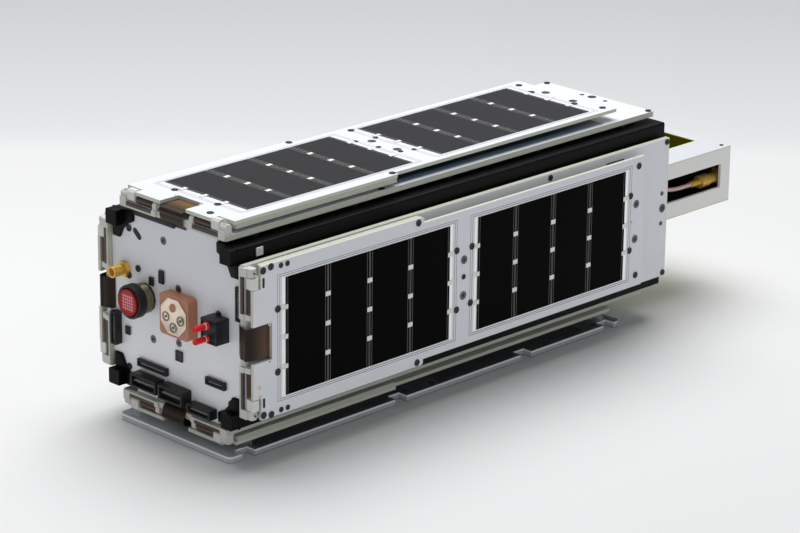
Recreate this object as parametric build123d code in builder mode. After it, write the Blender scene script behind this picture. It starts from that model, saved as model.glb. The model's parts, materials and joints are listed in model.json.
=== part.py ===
from build123d import *
import os
from math import pi, radians, tan

# Small three-unit satellite lying on its side on a clear stand.
# X runs along the body, the hinge end is at -X and the payload end at +X.
# The origin is on the underside of the stand, below the middle of the body.

# Body and rails
BODY_W = 100.0
BODY_L = 340.5
RAIL_W = 8.5
RAIL_EDGE = 1.0
LEG_W = 4.0
LEG_T = 2.5

# Ends of the body: white plate in front of a black frame with gussets beside the rails
NEAR_STEP = 6.25
FAR_STEP = 1.25
FRAME_T = 6.0
PLATE_T = 2.0
NEAR_PLATE_HALF = 52.2
FAR_PLATE_HALF = 48.0
PLATE_FIT = 0.25
GUSSET_L = 8.0
GUSSET_T = 4.5
GUSSET_OUT = 1.2

# Layers of each long side, counted outward from the rails
PANEL_LIFT = 2.4
PANEL_T = 3.2
PANEL_LAP = 0.9
STOW_GAP = 2.3
BAR_T = 2.5
BAR_W = 3.0
BOARD_T = 2.0
CELL_T = 0.4

# Fixed side panel and its standoffs
PANEL_START = 4.45
PANEL_END = 1.75
STANDOFF_R = 2.2
STANDOFF_COUNT = 5
STANDOFF_PITCH = 72.0

# Wing board: full width near the hinge, narrower beyond the step
WING_NEAR_HALF = 42.6
WING_FAR_HALF = 39.3
WING_TIP = 30.25
WING_STEP_X = -41.0
STEP_ROUND = 1.6
TIP_ROUND = 1.2

# Solar cells: two groups of four on each wing
CELL_L = 30.0
CELL_W = 65.8
CELL_GAP = 0.7
CELL_PER_GROUP = 4
GROUP_GAP = 21.8
FIELD_X = -10.2

# Hinge: in the gap between panel and board, pins carried by the wing turn in the base's knuckles
HINGE_INSET = 1.8
HINGE_PLAY = 0.2
PIN_R = 1.0
PIN_PLAY = 0.05
PIN_CAP = 0.4
HINGE_GAP = 0.4
HINGE_START = 13.2
KNUCKLE_IN = 3.0
SPRING_L = 14.0
SPRING_WALL = 0.8
SPRING_FACETS = 12
KNUCKLE_WING = 6.0
KNUCKLE_OUT = 4.8
STRIP_T = 1.2
STRIP_H = 3.0
BLOCK_RISE = 3.2
BLOCK_BEVEL = 1.0
HOOK_L = 2.6
HOOK_BEVEL = 1.2
HOOK_SLOT = 1.0
LEAF_L = 6.0
LEAF_T = 2.0

# Flexible circuit that crosses each hinge
FLEX_HALF = 8.8
FLEX_T = 0.4
FLEX_SIDE = 1.4
FLEX_LAP = 4.6
FLEX_REACH = 0.4
NOTCH_L = 13.1
LEAD_OUT = 2.1
LEAD_FOOT = 2.5
LEAD_BEND = 2.9

# Heavy electronics inside
STACK_FIT = 0.3
STACK_L = 282.0

# Parts on the hinge-end plate: across and up from the body axis
BUTTON_AT = (25.2, 3.9)
BUTTON_OUT = 12.0
BUTTON_R = 9.5
BUSHING_R = 8.4
BUSHING_L = 6.2
LENS_R = 7.4
LENS_DOME = 1.0
LENS_EDGE = 0.6
ANTENNA_AT = (-5.2, 2.4)
ANTENNA_W = 23.0
ANTENNA_T = 6.5
ANTENNA_ROUND = 2.0
PATCH_W = 20.0
PATCH_T = 0.6
PATCH_ROUND = 4.0
JACK_AT = (41.7, 16.1)
JACK_HEX = 8.0
JACK_HEX_T = 2.6
JACK_NECK_R = 2.4
JACK_NECK_L = 1.2
JACK_THREAD_R = 3.175
JACK_THREAD_L = 6.0
JACK_BORE_R = 2.3
JACK_BORE_L = 4.0
HEADER_AT = (-35.7, 3.0)
HEADER_SIZE = (12.3, 13.6, 9.5)
PLUG_RISE = 3.5
PLUG_R = 1.7
PLUG_L = 9.5
PLUG_TIP = 0.7

# Payload box beyond the far end
BOX_L = 78.0
BOX_W = 76.0
BOX_H = 34.6
BOX_T = 2.0
WINDOW_L = 58.5
WINDOW_H = 15.0
WINDOW_END = 8.5
WINDOW_ROUND = 1.0
PANE_L = 49.0
PANE_W = 34.0
PANE_T = 0.8
PANE_SINK = 1.2
PLUG_WALL = 5.0
PLUG_UP = -3.2
FLANGE_W = 8.0
FLANGE_H = 10.0
FLANGE_T = 1.6
COAX_R = 1.3
FERRULE_R = 2.1
CABLE_STEP = (3.5, 4.0)
CABLE_RUNS = (15.5, 14.5)

# Clear stand
STAND_T = 4.0
STAND_W = 90.0
STAND_NEAR = 3.0
STAND_END_X = 142.0
STAND_ROUND = 3.0
SLOT_W = 9.0
SLOT_DEPTH = 6.5
SLOT_X = (-154.0, -40.0, 61.0, 132.0)
POST_H = 4.6
POST_W = 6.5
POST_Y = 36.0
POST_X = (-149.5, 130.0)

# Places worked out from the sizes above
HALF_L = BODY_L / 2
RAIL_FACE = BODY_W / 2
PANEL_OUT = RAIL_FACE + PANEL_LIFT + PANEL_T
BAR_IN = PANEL_OUT + STOW_GAP
BOARD_IN = BAR_IN + BAR_T
BOARD_OUT = BOARD_IN + BOARD_T
CELL_OUT = BOARD_OUT + CELL_T
AXIS_Z = STAND_T + POST_H + BOARD_OUT
NEAR_X = -HALF_L + NEAR_STEP
FAR_X = HALF_L - FAR_STEP
NEAR_IN_X = NEAR_X + PLATE_T + FRAME_T
FAR_IN_X = FAR_X - PLATE_T - FRAME_T
RAIL_MID = RAIL_FACE - RAIL_W / 2
BAY_HALF = RAIL_FACE - RAIL_W
PANEL_HALF = BAY_HALF + PANEL_LAP
STACK_W = 2 * (BAY_HALF - STACK_FIT)
PANEL_X = -HALF_L + PANEL_START
BOARD_X = PANEL_X
WING_TIP_X = HALF_L - WING_TIP

# Hinge levels and stations: the open board and its hooks stand just clear of the base's strip
HINGE_X = BOARD_X + HINGE_INSET
HINGE_H = (PANEL_OUT + BOARD_IN) / 2
KNUCKLE_R = (BOARD_IN - PANEL_OUT) / 2 - HINGE_PLAY
SPRING_R = KNUCKLE_R - HINGE_PLAY
STRIP_X = PANEL_X - STRIP_T
STRIP_OUT = HINGE_H - max(HINGE_INSET, KNUCKLE_R) - HINGE_PLAY
STRIP_IN = STRIP_OUT - STRIP_H
HOOK_X = HINGE_X + HOOK_L
LEAF_IN = BOARD_IN - LEAF_T
BLOCK_OUT = HINGE_H + BLOCK_RISE
CUT_X = HOOK_X + HOOK_SLOT
BAR_X = CUT_X + HOOK_SLOT
LEAD_X = PANEL_X - LEAD_OUT

# Knuckles and spring along half of the hinge, from the middle outward
Y_IN = (HINGE_START, HINGE_START + KNUCKLE_IN)
Y_SPRING = (Y_IN[1], Y_IN[1] + SPRING_L)
Y_WING = (Y_SPRING[1] + HINGE_GAP, Y_SPRING[1] + HINGE_GAP + KNUCKLE_WING)
Y_OUT = (Y_WING[1] + HINGE_GAP, Y_WING[1] + HINGE_GAP + KNUCKLE_OUT)

# The four long sides: local x along the body, local z outward
AXIS = (0, 0, AXIS_Z)
SIDES = {
    "top": Plane(AXIS, x_dir=(1, 0, 0), z_dir=(0, 0, 1)),
    "right": Plane(AXIS, x_dir=(1, 0, 0), z_dir=(0, -1, 0)),
    "bottom": Plane(AXIS, x_dir=(1, 0, 0), z_dir=(0, 0, -1)),
    "left": Plane(AXIS, x_dir=(1, 0, 0), z_dir=(0, 1, 0)),
}
# Sections across the body seen from the payload end: local x is +Y, local y is +Z
SECTION = Plane(AXIS, x_dir=(0, 1, 0), z_dir=(1, 0, 0))
NEAR_FACE = SECTION.offset(NEAR_X)
FAR_FACE = SECTION.offset(FAR_X)

os.makedirs("parts", exist_ok=True)


def save(part, label):
    part.label = label
    export_step(part, f"parts/{label}.step")


def across(side, y):
    """Plane square to the hinge at y: local x along the body, local y outward."""
    return Plane(side.from_local_coords((0, y, 0)), x_dir=side.x_dir, z_dir=-side.y_dir)


def mirrored(span):
    """The same stretch of the hinge on both sides of its middle."""
    return (span, (-span[1], -span[0]))


def centre(span):
    return (span[0] + span[1]) / 2


# Rails: a square bar with two legs that carry the side panels between the end frames
RAIL_TABLE = {
    "top_left": (1, 1),
    "top_right": (-1, 1),
    "bottom_left": (1, -1),
    "bottom_right": (-1, -1),
}
for place, (sy, sz) in RAIL_TABLE.items():
    with BuildPart() as rail:
        with BuildSketch(SECTION.offset(-HALF_L)):
            with Locations((sy * RAIL_MID, sz * RAIL_MID)):
                Rectangle(RAIL_W, RAIL_W)
        extrude(amount=BODY_L)
        long_edges = rail.edges().filter_by(Axis.X)
        outer = long_edges.sort_by(lambda e: sy * e.center().Y + sz * (e.center().Z - AXIS_Z))[-1]
        fillet(outer, RAIL_EDGE)
        with BuildSketch(SECTION.offset(NEAR_IN_X)):
            with Locations((sy * (BAY_HALF - LEG_W / 2), sz * (RAIL_FACE - LEG_T / 2))):
                Rectangle(LEG_W, LEG_T)
            with Locations((sy * (RAIL_FACE - LEG_T / 2), sz * (BAY_HALF - LEG_W / 2))):
                Rectangle(LEG_T, LEG_W)
        extrude(amount=FAR_IN_X - NEAR_IN_X)
    save(rail.part, f"rail_{place}")


# Plate: its long arms pass between the gussets, its corners step round them and the rails
ARM_HALF = BAY_HALF - GUSSET_L - PLATE_FIT
STEP_HALF = RAIL_FACE - GUSSET_T - PLATE_FIT
SHOULDER_HALF = BAY_HALF - PLATE_FIT
GUSSET_MID = BAY_HALF - GUSSET_L / 2
GUSSET_UP = RAIL_FACE - GUSSET_T / 2
# Columns: name, front of the plate, direction into the body, half width of the plate
END_TABLE = (
    ("near", NEAR_FACE, 1, NEAR_PLATE_HALF),
    ("far", FAR_FACE, -1, FAR_PLATE_HALF),
)
for place, face, inward, half in END_TABLE:
    with BuildPart() as frame:
        with BuildSketch(face.offset(inward * PLATE_T)):
            Rectangle(BODY_W, 2 * BAY_HALF)
            Rectangle(2 * BAY_HALF, BODY_W)
        extrude(amount=inward * FRAME_T)
        with BuildSketch(face.offset(inward * PLATE_T)):
            with GridLocations(2 * GUSSET_MID, 2 * GUSSET_UP, 2, 2):
                Rectangle(GUSSET_L, GUSSET_T)
            with GridLocations(2 * GUSSET_UP, 2 * GUSSET_MID, 2, 2):
                Rectangle(GUSSET_T, GUSSET_L)
        extrude(amount=-inward * (PLATE_T + GUSSET_OUT))
    save(frame.part, f"end_frame_{place}")

    with BuildPart() as plate:
        with BuildSketch(face):
            Rectangle(2 * half, 2 * ARM_HALF)
            Rectangle(2 * ARM_HALF, 2 * half)
            Rectangle(2 * STEP_HALF, 2 * SHOULDER_HALF)
            Rectangle(2 * SHOULDER_HALF, 2 * STEP_HALF)
        extrude(amount=inward * PLATE_T)
    save(plate.part, f"end_plate_{place}")

# Electronics and battery as one plain block against the hinge-end frame
with BuildPart() as stack:
    with BuildSketch(SECTION.offset(NEAR_IN_X)):
        Rectangle(STACK_W, STACK_W)
    extrude(amount=STACK_L)
save(stack.part, "electronics_block")


def make_panel(side):
    """Fixed white panel with hexagonal standoffs that stand on the rail legs."""
    length = BODY_L - PANEL_START - PANEL_END
    with BuildPart() as panel:
        with BuildSketch(side.offset(RAIL_FACE + PANEL_LIFT)):
            with Locations((PANEL_X + length / 2, 0)):
                Rectangle(length, 2 * PANEL_HALF)
        extrude(amount=PANEL_T)
        with BuildSketch(side.offset(RAIL_FACE)):
            with GridLocations(STANDOFF_PITCH, 2 * (BAY_HALF - LEG_W / 2), STANDOFF_COUNT, 2):
                RegularPolygon(STANDOFF_R, 6)
        extrude(amount=PANEL_LIFT)
    return panel.part


def bore():
    """Running hole for the pin, cut last in a knuckle's sketch."""
    with Locations((HINGE_X, HINGE_H)):
        Circle(PIN_R + PIN_PLAY, mode=Mode.SUBTRACT)


def make_hinge_base(side):
    """Strip across the panel's near edge, with a bored knuckle and an outer block on each half."""
    foot = [(STRIP_X, STRIP_IN), (PANEL_X, STRIP_IN), (PANEL_X, PANEL_OUT), (HINGE_X, PANEL_OUT + HINGE_PLAY)]
    with BuildPart() as base:
        for span in mirrored((Y_IN[0], Y_OUT[1])):
            with BuildSketch(across(side, span[1])):
                with Locations((PANEL_X - STRIP_T / 2, STRIP_OUT - STRIP_H / 2)):
                    Rectangle(STRIP_T, STRIP_H)
            extrude(amount=span[1] - span[0])
        for span in mirrored(Y_IN):
            with BuildSketch(across(side, span[1])):
                Polygon(*foot, (HINGE_X, HINGE_H), (HINGE_X - KNUCKLE_R, HINGE_H),
                        (HINGE_X - KNUCKLE_R, STRIP_OUT), (STRIP_X, STRIP_OUT), align=None)
                with Locations((HINGE_X, HINGE_H)):
                    Circle(KNUCKLE_R)
                bore()
            extrude(amount=span[1] - span[0])
        for span in mirrored(Y_OUT):
            with BuildSketch(across(side, span[1])) as block:
                Polygon(*foot, (HINGE_X + KNUCKLE_R, PANEL_OUT + HINGE_PLAY),
                        (HINGE_X + KNUCKLE_R, BLOCK_OUT), (HINGE_X - KNUCKLE_R, BLOCK_OUT),
                        (HINGE_X - KNUCKLE_R, HINGE_H), (STRIP_X, HINGE_H), align=None)
                chamfer(block.vertices().group_by(Axis.Y)[-1], BLOCK_BEVEL)
            extrude(amount=span[1] - span[0])
    return base.part


def make_springs(side):
    """Two torsion springs, as the sleeves that their coils fill, around the pins."""
    with BuildPart() as springs:
        for span in mirrored(Y_SPRING):
            with BuildSketch(across(side, span[1])):
                with Locations((HINGE_X, HINGE_H)):
                    RegularPolygon(SPRING_R, SPRING_FACETS)
                    RegularPolygon(SPRING_R - SPRING_WALL, SPRING_FACETS, mode=Mode.SUBTRACT)
            extrude(amount=span[1] - span[0])
    return springs.part


def make_leaf(side):
    """Wing side of the hinge: two hooked knuckles, their leaves under the board and two pins."""
    with BuildPart() as leaf:
        for span in mirrored(Y_WING):
            with BuildSketch(across(side, span[1])) as hook:
                Polygon((HINGE_X - KNUCKLE_R, HINGE_H), (HINGE_X - KNUCKLE_R, CELL_OUT), (HOOK_X, CELL_OUT),
                        (HOOK_X, LEAF_IN), (HINGE_X + KNUCKLE_R, HINGE_H), align=None)
                chamfer(hook.vertices().group_by(Axis.Y)[-1], HOOK_BEVEL)
                with Locations((HINGE_X, HINGE_H)):
                    Circle(KNUCKLE_R)
                with Locations((HOOK_X + LEAF_L / 2, BOARD_IN - LEAF_T / 2)):
                    Rectangle(LEAF_L, LEAF_T)
            extrude(amount=span[1] - span[0])
        for span in mirrored((Y_IN[0] - PIN_CAP, Y_WING[0])):
            with BuildSketch(across(side, span[1])):
                with Locations((HINGE_X, HINGE_H)):
                    Circle(PIN_R)
            extrude(amount=span[1] - span[0])
    return leaf.part


def make_board(side):
    """Outer circuit board of a wing, stepped in width and notched over the flex."""
    near_l = WING_STEP_X - BOARD_X
    far_l = WING_TIP_X - WING_STEP_X
    with BuildPart() as board:
        with BuildSketch(side.offset(BOARD_IN)) as outline:
            with Locations((BOARD_X + near_l / 2, 0)):
                Rectangle(near_l, 2 * WING_NEAR_HALF)
            with Locations((WING_STEP_X + far_l / 2, 0)):
                Rectangle(far_l, 2 * WING_FAR_HALF)
            with Locations((BOARD_X + NOTCH_L / 2, 0)):
                Rectangle(NOTCH_L, 2 * (FLEX_HALF + FLEX_SIDE), mode=Mode.SUBTRACT)
            for span in mirrored((Y_WING[0] - HINGE_GAP, WING_NEAR_HALF)):
                with Locations(((BOARD_X + CUT_X) / 2, centre(span))):
                    Rectangle(CUT_X - BOARD_X, span[1] - span[0], mode=Mode.SUBTRACT)
            step = outline.vertices().sort_by(Axis.X)
            fillet([v for v in step if abs(v.X - WING_STEP_X) < 0.01 and
                    abs(abs(v.Y) - WING_NEAR_HALF) < 0.01], STEP_ROUND)
            fillet(outline.vertices().group_by(Axis.X)[-1], TIP_ROUND)
        extrude(amount=BOARD_T)
    return board.part


def make_bars(side):
    """Two stiffening bars under the wide half of the board."""
    length = WING_STEP_X - STEP_ROUND - BAR_X
    with BuildPart() as bars:
        with BuildSketch(side.offset(BAR_IN)):
            with Locations((BAR_X + length / 2, 0)):
                with GridLocations(1, 2 * WING_NEAR_HALF - BAR_W, 1, 2):
                    Rectangle(length, BAR_W)
        extrude(amount=BAR_T)
    return bars.part


def make_cells(side):
    """Two groups of solar cells laid across the board."""
    pitch = CELL_L + CELL_GAP
    group_pitch = CELL_PER_GROUP * pitch - CELL_GAP + GROUP_GAP
    with BuildPart() as cells:
        with BuildSketch(side.offset(BOARD_OUT)):
            with Locations((FIELD_X, 0)):
                with GridLocations(group_pitch, 1, 2, 1):
                    with GridLocations(pitch, 1, CELL_PER_GROUP, 1):
                        Rectangle(CELL_L, CELL_W)
        extrude(amount=CELL_T)
    return cells.part


def make_flex_strip(side):
    """Wing end of the flexible circuit, lapped under the board."""
    length = FLEX_REACH + NOTCH_L + FLEX_LAP
    with BuildPart() as strip:
        with BuildSketch(side.offset(BOARD_IN - FLEX_T)):
            with Locations((BOARD_X - FLEX_REACH + length / 2, 0)):
                Rectangle(length, 2 * FLEX_HALF)
        extrude(amount=FLEX_T)
    return strip.part


def make_flex_lead(side):
    """Body end of the flexible circuit: from the plate round the panel's near edge."""
    foot_out = RAIL_FACE + PLATE_FIT
    with BuildPart() as lead:
        with BuildSketch(across(side, FLEX_HALF)):
            Polygon((NEAR_X, foot_out - LEAD_FOOT), (NEAR_X, foot_out),
                    (LEAD_X + FLEX_T, foot_out + LEAD_BEND), (LEAD_X + FLEX_T, HINGE_H),
                    (LEAD_X, HINGE_H), (LEAD_X, foot_out + LEAD_BEND),
                    (NEAR_X - FLEX_T, foot_out), (NEAR_X - FLEX_T, foot_out - LEAD_FOOT), align=None)
        extrude(amount=2 * FLEX_HALF)
    return lead.part


MAKERS = {
    "panel": make_panel,
    "hinge_base": make_hinge_base,
    "hinge_leaf": make_leaf,
    "wing_board": make_board,
    "wing_bars": make_bars,
    "wing_cells": make_cells,
    "flex_strip": make_flex_strip,
}
for place, side in SIDES.items():
    for piece, maker in MAKERS.items():
        save(maker(side), f"{piece}_{place}")

with BuildPart() as flex_leads:
    for side in SIDES.values():
        add(make_flex_lead(side))
save(flex_leads.part, "flex_leads")

with BuildPart() as all_springs:
    for side in SIDES.values():
        add(make_springs(side))
save(all_springs.part, "hinge_springs")

# Push button: threaded bushing, black barrel and domed red lens
with BuildPart() as button:
    with BuildSketch(NEAR_FACE):
        with Locations(BUTTON_AT):
            Circle(BUSHING_R)
    extrude(amount=-BUSHING_L)
    with BuildSketch(NEAR_FACE.offset(-BUSHING_L)):
        with Locations(BUTTON_AT):
            Circle(BUTTON_R)
    extrude(amount=-(BUTTON_OUT - BUSHING_L))
    rim = button.edges().filter_by(GeomType.CIRCLE).sort_by(Axis.X)[0]
    chamfer(rim, LENS_DOME)
save(button.part, "button_body")

with BuildPart() as lens:
    with BuildSketch(NEAR_FACE.offset(-BUTTON_OUT)):
        with Locations(BUTTON_AT):
            Circle(LENS_R)
    extrude(amount=-LENS_DOME)
    chamfer(lens.edges().filter_by(GeomType.CIRCLE).sort_by(Axis.X)[0], LENS_EDGE)
save(lens.part, "button_lens")

# Patch antenna: ceramic block with its metal face
with BuildPart() as antenna:
    with BuildSketch(NEAR_FACE):
        with Locations(ANTENNA_AT):
            RectangleRounded(ANTENNA_W, ANTENNA_W, ANTENNA_ROUND)
    extrude(amount=-ANTENNA_T)
save(antenna.part, "antenna_block")

with BuildPart() as patch:
    with BuildSketch(NEAR_FACE.offset(-ANTENNA_T)):
        with Locations(ANTENNA_AT):
            RectangleRounded(PATCH_W, PATCH_W, PATCH_ROUND)
    extrude(amount=-PATCH_T)
save(patch.part, "antenna_face")

# Coaxial jack: hexagon, neck and threaded barrel with its socket
with BuildPart() as jack:
    with BuildSketch(NEAR_FACE):
        with Locations(JACK_AT):
            RegularPolygon(JACK_HEX / 2, 6, major_radius=False)
    extrude(amount=-JACK_HEX_T)
    with BuildSketch(NEAR_FACE.offset(-JACK_HEX_T)):
        with Locations(JACK_AT):
            Circle(JACK_NECK_R)
    extrude(amount=-JACK_NECK_L)
    with BuildSketch(NEAR_FACE.offset(-JACK_HEX_T - JACK_NECK_L)):
        with Locations(JACK_AT):
            Circle(JACK_THREAD_R)
    extrude(amount=-JACK_THREAD_L)
    with BuildSketch(NEAR_FACE.offset(-JACK_HEX_T - JACK_NECK_L - JACK_THREAD_L)):
        with Locations(JACK_AT):
            Circle(JACK_BORE_R)
    extrude(amount=JACK_BORE_L, mode=Mode.SUBTRACT)
save(jack.part, "coax_jack")

# Header block with two plugs on it
HEADER_W, HEADER_H, HEADER_OUT = HEADER_SIZE
PLUG_CENTRES = [(HEADER_AT[0], HEADER_AT[1] + s * PLUG_RISE) for s in (1, -1)]
with BuildPart() as header:
    with BuildSketch(NEAR_FACE):
        with Locations(HEADER_AT):
            Rectangle(HEADER_W, HEADER_H)
    extrude(amount=-HEADER_OUT)
save(header.part, "header_block")

with BuildPart() as plugs:
    with BuildSketch(NEAR_FACE.offset(-HEADER_OUT)):
        with Locations(*PLUG_CENTRES):
            Circle(PLUG_R)
    extrude(amount=-PLUG_L)
    chamfer(plugs.edges().filter_by(GeomType.CIRCLE).group_by(Axis.X)[0], PLUG_TIP)
save(plugs.part, "header_plugs")

# Sockets on the plate: across, up, width, height, height off the plate
SOCKET_TABLE = (
    (21.0, -42.6, 21.0, 8.6, 7.0),
    (-1.5, -42.9, 19.6, 9.2, 7.5),
    (-22.5, -46.4, 18.6, 6.4, 6.0),
    (18.9, -33.7, 24.0, 5.2, 2.4),
    (-32.0, -28.7, 15.2, 5.2, 2.4),
    (48.0, -18.5, 5.6, 19.0, 5.0),
    (-49.2, 19.5, 5.0, 19.0, 1.2),
)
with BuildPart() as sockets:
    for y, z, width, height, out in SOCKET_TABLE:
        with BuildSketch(NEAR_FACE):
            with Locations((y, z)):
                Rectangle(width, height)
        extrude(amount=-out)
save(sockets.part, "plate_sockets")

# Payload box: five circuit boards round an open side window
BOX_MID_X = FAR_X + BOX_L / 2
BOX_END_X = FAR_X + BOX_L
SIDE_L = BOX_L - BOX_T
SIDE_H = BOX_H - 2 * BOX_T
SIDE_MID_X = FAR_X + SIDE_L / 2
TOP = SIDES["top"]
RIGHT = SIDES["right"]

PANE_MID_X = BOX_END_X - WINDOW_END - PANE_L / 2
with BuildPart() as box_top:
    with BuildSketch(TOP.offset(BOX_H / 2 - BOX_T)):
        with Locations((BOX_MID_X, 0)):
            Rectangle(BOX_L, BOX_W)
    extrude(amount=BOX_T)
    with BuildSketch(TOP.offset(BOX_H / 2)):
        with Locations((PANE_MID_X, 0)):
            Rectangle(PANE_L, PANE_W)
    extrude(amount=-PANE_SINK, mode=Mode.SUBTRACT)
save(box_top.part, "payload_top")

with BuildPart() as pane:
    with BuildSketch(TOP.offset(BOX_H / 2 - PANE_SINK)):
        with Locations((PANE_MID_X, 0)):
            Rectangle(PANE_L - 2 * PLATE_FIT, PANE_W - 2 * PLATE_FIT)
    extrude(amount=PANE_T)
save(pane.part, "payload_pane")

with BuildPart() as box_bottom:
    with BuildSketch(TOP.offset(-BOX_H / 2)):
        with Locations((BOX_MID_X, 0)):
            Rectangle(BOX_L, BOX_W)
    extrude(amount=BOX_T)
save(box_bottom.part, "payload_bottom")

with BuildPart() as box_left:
    with BuildSketch(SIDES["left"].offset(BOX_W / 2 - BOX_T)):
        with Locations((SIDE_MID_X, 0)):
            Rectangle(SIDE_L, SIDE_H)
    extrude(amount=BOX_T)
save(box_left.part, "payload_side_left")

with BuildPart() as box_right:
    with BuildSketch(RIGHT.offset(BOX_W / 2 - BOX_T)):
        with Locations((SIDE_MID_X, 0)):
            Rectangle(SIDE_L, SIDE_H)
        with Locations((BOX_END_X - WINDOW_END - WINDOW_L / 2, 0)):
            RectangleRounded(WINDOW_L, WINDOW_H, WINDOW_ROUND, mode=Mode.SUBTRACT)
    extrude(amount=BOX_T)
save(box_right.part, "payload_side_right")

with BuildPart() as box_end:
    with BuildSketch(SECTION.offset(BOX_END_X - BOX_T)):
        Rectangle(BOX_W, SIDE_H)
    extrude(amount=BOX_T)
save(box_end.part, "payload_end")

# Coaxial plug on the box's end wall: flange, then body, nut and ferrule toward the cable
PLUG_PLANE = SECTION.offset(BOX_END_X - BOX_T)
PLUG_IN_AT = (-(BOX_W / 2 - BOX_T - PLUG_WALL), PLUG_UP)
# Columns: radius, length
PLUG_STEPS = (
    (3.3, 10.0),
    (4.0, 7.0),
    (FERRULE_R, 8.0),
)
with BuildPart() as box_jack:
    with BuildSketch(PLUG_PLANE):
        with Locations(PLUG_IN_AT):
            Rectangle(FLANGE_W, FLANGE_H)
    extrude(amount=-FLANGE_T)
    plug_depth = FLANGE_T
    for radius, length in PLUG_STEPS:
        with BuildSketch(PLUG_PLANE.offset(-plug_depth)):
            with Locations(PLUG_IN_AT):
                Circle(radius)
        extrude(amount=-length)
        plug_depth += length
save(box_jack.part, "payload_jack")

# Coaxial cable from the plug back to the far end plate
CABLE_X = BOX_END_X - BOX_T - plug_depth
CABLE_Y = PLUG_IN_AT[0] + CABLE_STEP[0]
CABLE_Z = AXIS_Z + PLUG_UP + CABLE_STEP[1]
CABLE_ROUTE = (
    (CABLE_X, PLUG_IN_AT[0], AXIS_Z + PLUG_UP),
    (CABLE_X - CABLE_RUNS[0], PLUG_IN_AT[0], AXIS_Z + PLUG_UP),
    (FAR_X + CABLE_RUNS[1], CABLE_Y, CABLE_Z),
    (FAR_X, CABLE_Y, CABLE_Z),
)


def corner_radii(points):
    """Largest tangent arcs that the runs allow, one for each inner point."""
    radii = []
    for a, b, c in zip(points, points[1:], points[2:]):
        run_in = Vector(*b) - Vector(*a)
        run_out = Vector(*c) - Vector(*b)
        turn = run_in.get_angle(run_out)
        shorter = min(run_in.length, run_out.length)
        radii.append(0.45 * shorter / tan(radians(turn) / 2))
    return radii


with BuildPart() as coax:
    with BuildLine() as route:
        FilletPolyline(*CABLE_ROUTE, radius=corner_radii(CABLE_ROUTE))
    with BuildSketch(Plane(CABLE_ROUTE[0], z_dir=route.line % 0)):
        Circle(COAX_R)
    sweep(path=route.line)
save(coax.part, "payload_coax")
coax_length = sum(edge.length for edge in route.line.edges())
print("coax radii", [round(r, 1) for r in corner_radii(CABLE_ROUTE)])
print("coax length", round(coax_length, 1), "volume ratio",
      round(coax.part.volume / (pi * COAX_R ** 2 * coax_length), 4))

# Clear stand: slotted plate and four posts under the lowest wing
STAND_X0 = -HALF_L + STAND_NEAR
STAND_L = STAND_END_X - STAND_X0
with BuildPart() as stand:
    with BuildSketch(Plane.XY):
        with Locations((STAND_X0 + STAND_L / 2, 0)):
            RectangleRounded(STAND_L, STAND_W, STAND_ROUND)
        for sy in (1, -1):
            with Locations(*[(x, sy * (STAND_W / 2 - SLOT_DEPTH / 2)) for x in SLOT_X]):
                Rectangle(SLOT_W, SLOT_DEPTH, mode=Mode.SUBTRACT)
    extrude(amount=STAND_T)
save(stand.part, "stand_plate")

with BuildPart() as posts:
    with BuildSketch(Plane.XY.offset(STAND_T)):
        with Locations(*[(x, sy * POST_Y) for x in POST_X for sy in (1, -1)]):
            Rectangle(POST_W, POST_W)
    extrude(amount=POST_H)
save(posts.part, "stand_posts")
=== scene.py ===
import json
import math

import bpy
from mathutils import Matrix, Vector


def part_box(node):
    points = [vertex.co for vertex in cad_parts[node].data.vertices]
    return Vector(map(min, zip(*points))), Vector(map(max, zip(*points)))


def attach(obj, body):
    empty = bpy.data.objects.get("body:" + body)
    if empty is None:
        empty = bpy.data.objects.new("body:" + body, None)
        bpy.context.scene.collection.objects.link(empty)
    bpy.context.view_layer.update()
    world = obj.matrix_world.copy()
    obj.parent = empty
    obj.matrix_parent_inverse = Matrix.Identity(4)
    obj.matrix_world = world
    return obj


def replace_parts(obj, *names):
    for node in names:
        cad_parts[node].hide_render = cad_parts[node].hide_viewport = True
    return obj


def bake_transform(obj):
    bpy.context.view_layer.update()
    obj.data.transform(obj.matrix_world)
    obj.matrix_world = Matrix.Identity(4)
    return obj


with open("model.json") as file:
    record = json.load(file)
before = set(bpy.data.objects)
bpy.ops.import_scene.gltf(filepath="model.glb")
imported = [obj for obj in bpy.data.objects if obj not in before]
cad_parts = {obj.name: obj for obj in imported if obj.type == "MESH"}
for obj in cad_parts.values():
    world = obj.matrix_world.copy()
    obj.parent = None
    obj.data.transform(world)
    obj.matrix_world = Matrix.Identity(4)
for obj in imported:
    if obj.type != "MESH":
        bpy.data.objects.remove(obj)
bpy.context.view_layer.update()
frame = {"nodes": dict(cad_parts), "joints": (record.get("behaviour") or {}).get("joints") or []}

bl_info = {
    "name": "Model Satellite Finish",
    "version": (1, 0, 0),
    "blender": (4, 5, 0),
    "location": "View3D > Sidebar > Satellite",
    "description": "Fits out a packed model satellite with its boards, cells, hinges, sockets and stand",
    "category": "Object",
}

MM = 0.001

# The four long sides: turn about the body's axis from the top, and the body that carries each wing
TURN = {"top": 0, "right": 90, "bottom": 180, "left": 270}
WING_BODY = {"top": "wing_top", "right": "wing_right", "bottom": "root", "left": "wing_left"}


def span(node, axis):
    """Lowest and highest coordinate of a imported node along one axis."""
    low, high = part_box(node)
    return low[axis], high[axis]


def middle(node, axis):
    return sum(span(node, axis)) / 2


def extent(node, axis):
    low, high = span(node, axis)
    return high - low


# Height of the body's axis
AXIS_Z = middle("wing_board_left", 2)


def face_of(node):
    """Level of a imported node's outer face on the top side, outward from the axis."""
    return span(node, 2)[1] - AXIS_Z


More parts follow.
